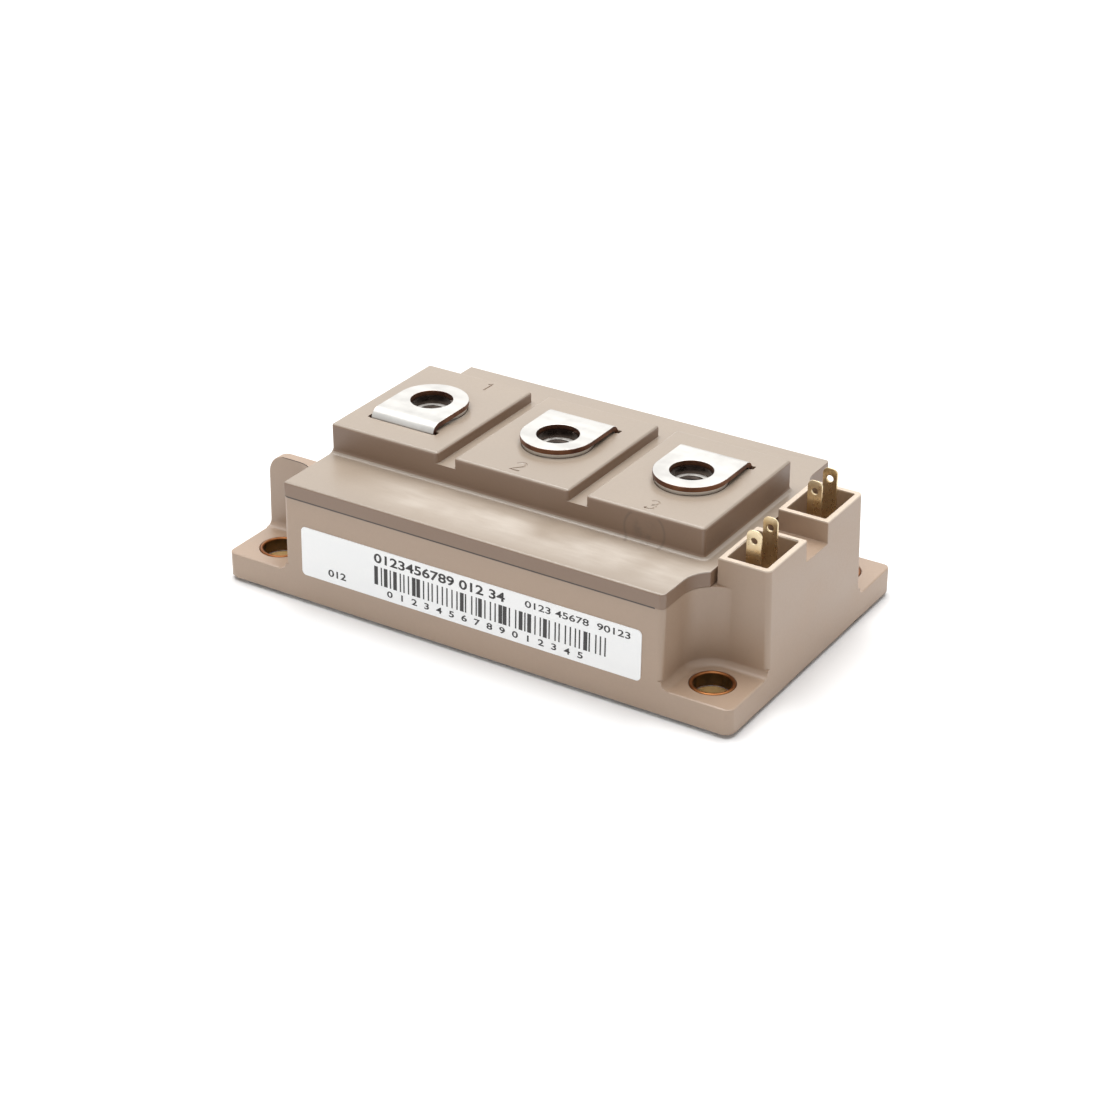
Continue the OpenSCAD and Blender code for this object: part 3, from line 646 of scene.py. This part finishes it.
def block(name, low, high):
    """A closed block between two corners."""
    low, high = Vector(low), Vector(high)
    size = Matrix.Diagonal((*(high - low), 1))
    shape = bmesh.new()
    bmesh.ops.create_cube(shape, size=1.0, matrix=Matrix.Translation((low + high) / 2) @ size)
    return add_shape(name, shape)


# The moulded case and lid

CASE_EDGE, LID_EDGE = 0.22 * MM, 0.2 * MM    # widths of the softened edges
SLOT_HALF_X = 0.7 * MM             # a slot's end, to each side of the tab's side
SLOT_IN, SLOT_OUT = 1.1 * MM, 0.15 * MM      # from the leg's line to the middle and away from it
SLOT_DEPTH = 1.2 * MM
NUMBER_PLACES = {"1": (-24.0, 13.0), "2": (-0.3, -12.6), "3": (27.6, -13.0)}    # in mm
GROOVE_R, GROOVE_LIFT = 0.3 * MM, 0.1 * MM   # a groove's round, and its axis over the block


def moulded_case():
    case = dress(joined_copy("case", "moulded_case"), HOUSING)
    soften(case, CASE_EDGE)
    finish_piece(settle(case), "housing", "case")


def slot_end(x, leg_y):
    """The end of a leg's slot, a little past the side of the tab."""
    inner = leg_y - math.copysign(SLOT_IN, leg_y)
    outer = leg_y + math.copysign(SLOT_OUT, leg_y)
    return block("slot_end", (x - SLOT_HALF_X, min(inner, outer), BLOCK_Z - SLOT_DEPTH),
                 (x + SLOT_HALF_X, max(inner, outer), BLOCK_Z + TAB_GAP))


def arc(x, y, radius, start, stop, count=14):
    """Points on an arc from one angle to another, in degrees."""
    turns = [math.radians(start + (stop - start) * k / count) for k in range(count + 1)]
    return [(x + radius * math.cos(turn), y + radius * math.sin(turn)) for turn in turns]


# The strokes of the numbers, in mm from the middle of each
STROKES = {
    "1": [[(-0.55, 0.95), (0.1, 1.6), (0.1, -1.6)]],
    "2": [arc(0.0, 0.68, 0.92, 165, -30) + [(-0.95, -1.6), (1.0, -1.6)]],
    "3": [arc(-0.05, 0.8, 0.8, 150, -95), arc(-0.05, -0.74, 0.88, 85, -150)],
}


def number_grooves(text, x, y):
    """Round cutters along the strokes of a number, sunk in the top of the block."""
    grooves = []
    for points in STROKES[text]:
        curve = bpy.data.curves.new("number_" + text, "CURVE")
        curve.dimensions = "3D"
        curve.bevel_depth = GROOVE_R
        curve.bevel_resolution = 3
        curve.use_fill_caps = True
        line = curve.splines.new("POLY")
        line.points.add(len(points) - 1)
        for point, (across, up) in zip(line.points, points):
            point.co = ((x + across) * MM, (y + up) * MM, BLOCK_Z + GROOVE_LIFT, 1.0)
        shape = mesh_of_curve("number_" + text, curve)
        bmesh.ops.remove_doubles(shape, verts=shape.verts, dist=SAME_PLACE)
        bmesh.ops.recalc_face_normals(shape, faces=shape.faces)
        grooves.append(add_shape("number_" + text, shape))
    return grooves


def moulded_lid():
    """The lid with a plain number cut beside each terminal, and its slots longer than the legs."""
    lid = dress(joined_copy("lid", "moulded_lid"), LID)
    soften(lid, LID_EDGE)
    cutters = []
    for text, (x, y) in NUMBER_PLACES.items():
        cutters += number_grooves(text, x, y)
    for number in TERMINALS:
        low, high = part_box(f"main_terminal_{number}")
        leg_y = math.copysign(LEG_Y, low.y + high.y)
        cutters += [slot_end(x, leg_y) for x in (low.x, high.x)]
    finish_piece(cut_away(lid, cutters), "lid", "lid")


# Metal parts

TAB_EDGE, NUT_EDGE, PLATE_EDGE, BLADE_EDGE = 0.12 * MM, 0.12 * MM, 0.15 * MM, 0.06 * MM
SLIP = 0.1 * MM                    # how far a face's middle may be off when faces are picked
COUNTERBORE_R, COUNTERBORE_DEPTH = 3.7 * MM, 1.5 * MM
THREAD_PITCH, THREAD_DEPTH = 1.0 * MM, 0.42 * MM
THREAD_FLANK = 1.15                # over 1, the crests of the nut's thread stay flat
LIP, CHAMFER, BULGE = 0.3 * MM, 0.15 * MM, 0.05 * MM         # of a sleeve
TIP_TAPER, TIP_THINNING = 1.1 * MM, 0.6      # length of a control tab's taper, and its share
COIN_R, COIN_MOUTH_R = 0.62 * MM, 1.08 * MM  # the coining cone, at its foot and at its mouth
COIN_DEPTH, COIN_OVER = 0.12 * MM, 0.2 * MM  # into the tab's face, and over it


def off_axis(face, centre):
    """How far the middle of a face is from an upright axis."""
    return math.hypot(face.center.x - centre.x, face.center.y - centre.y)


def bent_terminal(number):
    """A bent tab: plated faces, and bare copper where the sheet was sheared."""
    node = f"main_terminal_{number}"
    tab = dress(joined_copy(node, f"bent_terminal_{number}"), NICKEL, CUT_EDGE)
    for face in tab.data.polygons:
        in_sheet = TAB_TOP - TAB_T - SLIP < face.center.z < TAB_TOP
        if abs(face.normal.x) > 0.9 or (in_sheet and abs(face.normal.z) < 0.2):
            face.material_index = 1
    soften(tab, TAB_EDGE, segments=3)
    finish_piece(settle(tab), "terminal", node)


def thread_tap(centre, low, high):
    """A closed screw shape that cuts a thread: a cylinder grid whose radius follows a helix."""
    around, per_turn = 72, 8
    core = BORE_R - WELD
    rows = int((high - low) / THREAD_PITCH * per_turn) + 1
    shape = bmesh.new()
    grid = []
    for row in range(rows):
        z = low + (high - low) * row / (rows - 1)
        ring = []
        for step in range(around):
            phase = (z / THREAD_PITCH - step / around) % 1.0
            radius = core + THREAD_DEPTH * max(0.0, 1.0 - abs(2 * phase - 1) * THREAD_FLANK)
            turn = 2 * math.pi * step / around
            ring.append(shape.verts.new((centre.x + radius * math.cos(turn),
                                         centre.y + radius * math.sin(turn), z)))
        grid.append(ring)
    for a, b in zip(grid, grid[1:]):
        for step in range(around):
            other = (step + 1) % around
            shape.faces.new((a[step], a[other], b[other], b[step]))
    shape.faces.new(list(reversed(grid[0])))
    shape.faces.new(grid[-1])
    bmesh.ops.recalc_face_normals(shape, faces=shape.faces)
    return add_shape("thread_tap", shape)


def threaded_nut(number):
    """A collared nut: a wide counterbore in the collar, its faced floor, and the thread below."""
    node = f"terminal_nut_{number}"
    low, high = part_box(node)
    centre = middle(node)
    nut = dress(joined_copy(node, f"threaded_nut_{number}"), STEEL, THREAD_PAINTED_SHADE, FACED)
    soften(nut, NUT_EDGE)
    floor, over = high.z - COUNTERBORE_DEPTH, 1 * MM
    mouth = [(0, floor), (COUNTERBORE_R, floor), (COUNTERBORE_R, high.z + over), (0, high.z + over)]
    counterbore = revolved("counterbore", mouth, steps=64)
    counterbore.data.transform(Matrix.Translation((centre.x, centre.y, 0)))
    cut_away(nut, [thread_tap(centre, low.z - over, floor + over / 2), counterbore])
    # The counterbore's walls and the thread take the dark metal, which paints the shade inside the
    # bore. The faced floor stays bright.
    for face in nut.data.polygons:
        if off_axis(face, centre) < COUNTERBORE_R + SLIP:
            faced = abs(face.normal.z) > 0.9 and abs(face.center.z - floor) < SLIP
            face.material_index = 2 if faced else 1
    finish_piece(nut, "nut", node)


def drilled_base_plate():
    """The plate with broken edges and toned walls in its four holes."""
    plate = dress(joined_copy("base_plate", "drilled_base_plate"), PLATE, PLATE_HOLE)
    holes = [middle(f"mounting_bushing_{number}") for number in SCREW_HOLES]
    near_hole = 4 * MM
    for face in plate.data.polygons:
        upright = abs(face.normal.z) < 0.5
        if upright and min(off_axis(face, hole) for hole in holes) < near_hole:
            face.material_index = 1
    soften(plate, PLATE_EDGE)
    finish_piece(settle(plate), "plate", "base_plate")


def rolled_sleeve(number):
    """A sleeve with a rolled lip at the top and a broken edge at the foot."""
    node = f"mounting_bushing_{number}"
    foot, top = (corner.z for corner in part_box(node))
    centre = middle(node)
    inner, outer = SLEEVE_R
    profile = [(outer - CHAMFER, foot), (outer, foot + CHAMFER), (outer, top - LIP)]
    steps = 6
    for step in range(1, steps + 1):
        turn = math.pi * step / steps
        across = (outer + inner) / 2 + (outer - inner) / 2 * math.cos(turn)
        profile.append((across, top - LIP + LIP * math.sin(turn)))
    profile += [(inner, top - LIP - BULGE), (inner, foot + CHAMFER), (inner + CHAMFER, foot)]
    sleeve = revolved(f"rolled_sleeve_{number}", profile, steps=72)
    dress(sleeve, SLEEVE, SLEEVE_BORE)
    for face in sleeve.data.polygons:
        if off_axis(face, Vector()) < inner + WELD:
            face.material_index = 1
    sleeve.data.transform(Matrix.Translation((centre.x, centre.y, 0)))
    finish_piece(settle(sleeve, smooth=40.0), "bushing", node)


def coin(x, y, z, side):
    """A cutter that coins the edge of a control tab's hole on one side."""
    profile = [(0, -COIN_DEPTH), (COIN_R, -COIN_DEPTH), (COIN_MOUTH_R, COIN_OVER), (0, COIN_OVER)]
    made = revolved("coin", profile, steps=32)
    turn = Matrix.Rotation(math.radians(-90 * side), 4, "X")
    made.data.transform(Matrix.Translation((x, y + side * PIN_T / 2, z)) @ turn)
    return made


def control_blade(number):
    """A flat tab with a tapered tip and a coined edge round its hole."""
    node = f"control_tab_{number}"
    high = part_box(node)[1]
    blade = dress(joined_copy(node, f"control_blade_{number}"), TONED_TAB)
    taper_from = high.z - TIP_TAPER
    shape = bmesh.new()
    shape.from_mesh(blade.data)
    mid_y = max(vert.co.y for vert in shape.verts if vert.co.z > taper_from) - PIN_T / 2
    bmesh.ops.bisect_plane(shape, geom=shape.verts[:] + shape.edges[:] + shape.faces[:],
                           plane_co=(0, 0, taper_from), plane_no=(0, 0, 1))
    for vert in shape.verts:
        if vert.co.z > taper_from:
            share = (vert.co.z - taper_from) / (high.z - taper_from)
            vert.co.y = mid_y + (vert.co.y - mid_y) * (1 - TIP_THINNING * share)
    shape.to_mesh(blade.data)
    shape.free()
    soften(blade, BLADE_EDGE)
    hole = (high.x - PIN_HALF, mid_y, high.z - PIN_HOLE_DOWN)
    cut_away(blade, [coin(*hole, side) for side in (-1, 1)])
    finish_piece(blade, "control_tab", node)


# The label's print: bars and plain numbers on the drafted front face

PRINT_T = 0.02 * MM
BARS_AT = (4.9, 10.55)             # middle of the row on the label, x and z in mm
BAR_ROW = {"Count": 48, "Length": 48.4 * MM, "Height": 3.7 * MM, "Thickness": PRINT_T,
           "Narrow": 0.28 * MM, "Wide": 0.8 * MM, "Shift": 0.16 * MM, "Seed": 4}
NUMBER_LINES = (                   # name, numbers, from x, to x, z, size and weight in mm
    ("label_title", "0123456789 012 34", -19.8, 8.4, 14.05, 2.5, 0.05),
    ("label_rating", "0123 45678  90123", 12.6, 34.0, 14.2, 1.8, 0.02),
    ("label_corner", "012", -30.2, -26.2, 8.0, 1.9, 0.03),
    ("label_row", "  ".join("0123456789012345"), -17.0, 24.6, 7.45, 1.7, 0.03),
)


def bar_row_tree():
    """Geometry Nodes tree: a row of upright bars, each narrow or wide and a little shifted by
    seeded chance. It comes with the identifiers of its inputs."""
    row = bpy.data.node_groups.new("bar_row", "GeometryNodeTree")
    row.interface.new_socket("Geometry", in_out="OUTPUT", socket_type="NodeSocketGeometry")
    sockets = {}
    for label, value in BAR_ROW.items():
        kind = "NodeSocketInt" if isinstance(value, int) else "NodeSocketFloat"
        sock = row.interface.new_socket(label, in_out="INPUT", socket_type=kind)
        sock.default_value = value
        sockets[label] = sock.identifier
    tree = Tree(row)
    given = row.nodes.new("NodeGroupInput").outputs
    line = tree.add("GeometryNodeMeshLine", {"Count": given["Count"],
                    "Offset": tree.vector(given["Length"])}, mode="END_POINTS")
    half_back = tree.vector(tree.product(given["Length"], -0.5))
    centred = tree.add("GeometryNodeTransform",
                       {"Geometry": line.outputs[0], "Translation": half_back})
    index = tree.add("GeometryNodeInputIndex").outputs[0]
    chance = tree.add("FunctionNodeRandomValue", {"ID": index, "Seed": given["Seed"]},
                      data_type="FLOAT")
    drawn = next(sock for sock in chance.outputs if sock.type == "VALUE" and sock.enabled)
    is_wide = tree.math("GREATER_THAN", drawn, 0.62)
    extra = tree.product(is_wide, tree.math("SUBTRACT", given["Wide"], given["Narrow"]))
    width = tree.vector(tree.math("ADD", given["Narrow"], extra), 1.0, 1.0)
    again = tree.math("FRACT", tree.product(drawn, 37.0))
    slide = tree.product(tree.math("SUBTRACT", again, 0.5), 2.0, given["Shift"])
    placed = tree.add("GeometryNodeSetPosition",
                      {"Geometry": centred.outputs[0], "Offset": tree.vector(slide)})
    size = tree.vector(1.0, given["Thickness"], given["Height"])
    bar = tree.add("GeometryNodeMeshCube", {"Size": size}).outputs["Mesh"]
    bars = tree.add("GeometryNodeInstanceOnPoints",
                    {"Points": placed.outputs[0], "Instance": bar, "Scale": width})
    real = tree.add("GeometryNodeRealizeInstances", {"Geometry": bars.outputs[0]})
    inked = tree.add("GeometryNodeSetMaterial", {"Geometry": real.outputs[0], "Material": INK})
    tree.link(inked.outputs[0], row.nodes.new("NodeGroupOutput").inputs[0])
    return row, sockets


def on_label(x, z):
    """Turns a drawing on the plane y = 0 to lie on the label at x, z (mm)."""
    y = LABEL_LOW.y + (z * MM - LABEL_LOW.z) * math.tan(DRAFT) - PRINT_T / 2
    return Matrix.Translation((x * MM, y, z * MM)) @ Matrix.Rotation(-DRAFT, 4, "X")


def label_bars():
    row = add_object("label_bars", bpy.data.meshes.new("label_bars"))
    modifier = row.modifiers.new("bars", "NODES")
    modifier.node_group, sockets = bar_row_tree()
    for label, value in BAR_ROW.items():
        modifier[sockets[label]] = value
    mesh = bpy.data.meshes.new_from_object(evaluated(row))
    row.modifiers.clear()
    row.data = mesh
    mesh.transform(on_label(*BARS_AT))
    return row


def number_line(name, numbers, x0, x1, z, size, weight):
    """Plain numbers in counting order, one line on the label, fitted between x0 and x1 (mm)."""
    curve = bpy.data.curves.new(name, "FONT")
    curve.body = numbers
    curve.size = size * MM
    curve.offset = weight * MM
    shape = mesh_of_curve(name + "_line", curve)
    xs = [vert.co.x for vert in shape.verts]
    ys = [vert.co.y for vert in shape.verts]
    widen = (x1 - x0) * MM / (max(xs) - min(xs))
    for vert in shape.verts:
        vert.co.x = (vert.co.x - (max(xs) + min(xs)) / 2) * widen
        vert.co.y -= (max(ys) + min(ys)) / 2
    raised = bmesh.ops.extrude_face_region(shape, geom=shape.faces[:], use_keep_orig=True)
    for part in raised["geom"]:
        if isinstance(part, bmesh.types.BMVert):
            part.co.z += PRINT_T
    bmesh.ops.translate(shape, verts=shape.verts, vec=(0, 0, -PRINT_T / 2))
    bmesh.ops.recalc_face_normals(shape, faces=shape.faces)
    line = dress(add_shape(name, shape), INK)
    upright = Matrix.Rotation(math.radians(90), 4, "X")
    line.data.transform(on_label((x0 + x1) / 2, z) @ upright)
    return line


def label_print():
    pieces = [label_bars()] + [number_line(*line) for line in NUMBER_LINES]
    for piece in pieces:
        finish_piece(piece, "label")


# The circuit and the scene round the part

CAD_LOOKS = (("label", FILM), ("silicone_gel", GEL), ("ceramic", CERAMIC),
             ("bottom_copper", COPPER), ("top_copper", COPPER),
             ("power_wires", WIRE), ("gate_wires", WIRE), ("bridge_wires", WIRE),
             ("igbt_chip", CHIP), ("diode_chip", CHIP))
FLOOR_HALF, FLOOR_DROP = 3.0, 0.1 * MM
FLOOR_FADE = (0.4, 1.4)            # from here on out the floor turns to plain white, in metres
SKY_LIGHT, SKY_SEEN = 0.44, 1.0
LAMPS = (                          # name, place, size in metres, power in watts
    ("overhead_softbox", (-0.1, 0.1, 0.8), (0.9, 0.7), 8.6),
    ("rear_softbox", (-0.5, 0.8, 0.52), (1.6, 0.8), 1.6),
)
SENSOR = 36.0                      # in mm
FOCAL_PIXELS, FRAME_PIXELS = 2573.29, 1100
CAMERA_PLACE = (0.226025, -0.359242, 0.233007)
LOOKS_DOWN, TURNED = 27.998, 32.376    # in degrees


def finish_circuit():
    """Materials for the CAD nodes that stay: the label film and the circuit inside."""
    for node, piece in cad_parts.items():
        for start, made in CAD_LOOKS:
            if node.startswith(start):
                if not piece.material_slots:
                    piece.data.materials.append(made)
                for place in piece.material_slots:
                    place.material = made


def paper_floor():
    """Near-white paper that keeps the shadow and turns to plain white far from the part."""
    shape = bmesh.new()
    bmesh.ops.create_grid(shape, x_segments=1, y_segments=1, size=FLOOR_HALF)
    floor = add_shape("floor", shape)
    floor.data.transform(Matrix.Translation((0, 0, -FLOOR_DROP)))
    paper, tree, shader = material(
        "paper_floor", {"Roughness": 0.9, "Specular IOR Level": 0.1, "Emission Strength": 1.0},
        (0.9, 0.9, 0.9, 1))
    place = tree.place()
    tone = tree.blend(tree.noise(place, 40.0), srgb(252, 252, 252), srgb(250, 250, 250))
    tree.link(tone, shader.inputs["Base Color"])
    away = tree.add("ShaderNodeVectorMath", {0: place}, operation="LENGTH").outputs["Value"]
    seen = tree.add("ShaderNodeLightPath").outputs["Is Camera Ray"]
    tree.link(tree.product(seen, tree.spread(away, *FLOOR_FADE)), shader.inputs["Emission Color"])
    dress(floor, paper)


def white_sky():
    """A sky that looks plain white and lights the part less than it shows."""
    world = bpy.data.worlds.new("studio")
    bpy.context.scene.world = world
    world.use_nodes = True
    world.node_tree.nodes.clear()
    tree = Tree(world.node_tree)
    path = tree.add("ShaderNodeLightPath").outputs
    mirrored = tree.math("MAXIMUM", path["Is Glossy Ray"], path["Is Transmission Ray"])
    seen = tree.math("MAXIMUM", path["Is Camera Ray"], mirrored)
    level = tree.between(seen, SKY_LIGHT, SKY_SEEN)
    sky = tree.add("ShaderNodeBackground", {"Color": (1, 1, 1, 1), "Strength": level})
    tree.add("ShaderNodeOutputWorld", {"Surface": sky.outputs[0]})


def lamp(name, place, size, power):
    """A soft box that faces the part."""
    light = bpy.data.lights.new(name, "AREA")
    light.shape = "RECTANGLE"
    light.size, light.size_y = size
    light.energy = power
    made = add_object(name, light)
    made.location = place
    made.rotation_euler = (-Vector(place)).to_track_quat("-Z", "Y").to_euler()


def studio():
    bpy.context.scene.view_settings.view_transform = "Standard"
    paper_floor()
    white_sky()
    for box in LAMPS:
        lamp(*box)


def camera():
    """The photograph's camera, fitted to the corners of the part in a square frame."""
    data = bpy.data.cameras.new("camera")
    data.sensor_width = SENSOR
    data.lens = SENSOR * FOCAL_PIXELS / FRAME_PIXELS
    data.clip_start, data.clip_end = 0.01, 20.0
    made = add_object("camera", data)
    made.location = CAMERA_PLACE
    made.rotation_euler = (math.radians(90 - LOOKS_DOWN), 0, math.radians(TURNED))
    bpy.context.scene.camera = made


moulded_case()
moulded_lid()
drilled_base_plate()
for terminal in TERMINALS:
    bent_terminal(terminal)
    threaded_nut(terminal)
for hole, pin in zip(SCREW_HOLES, CONTROL_TABS):
    rolled_sleeve(hole)
    control_blade(pin)
label_print()
finish_circuit()
studio()
camera()
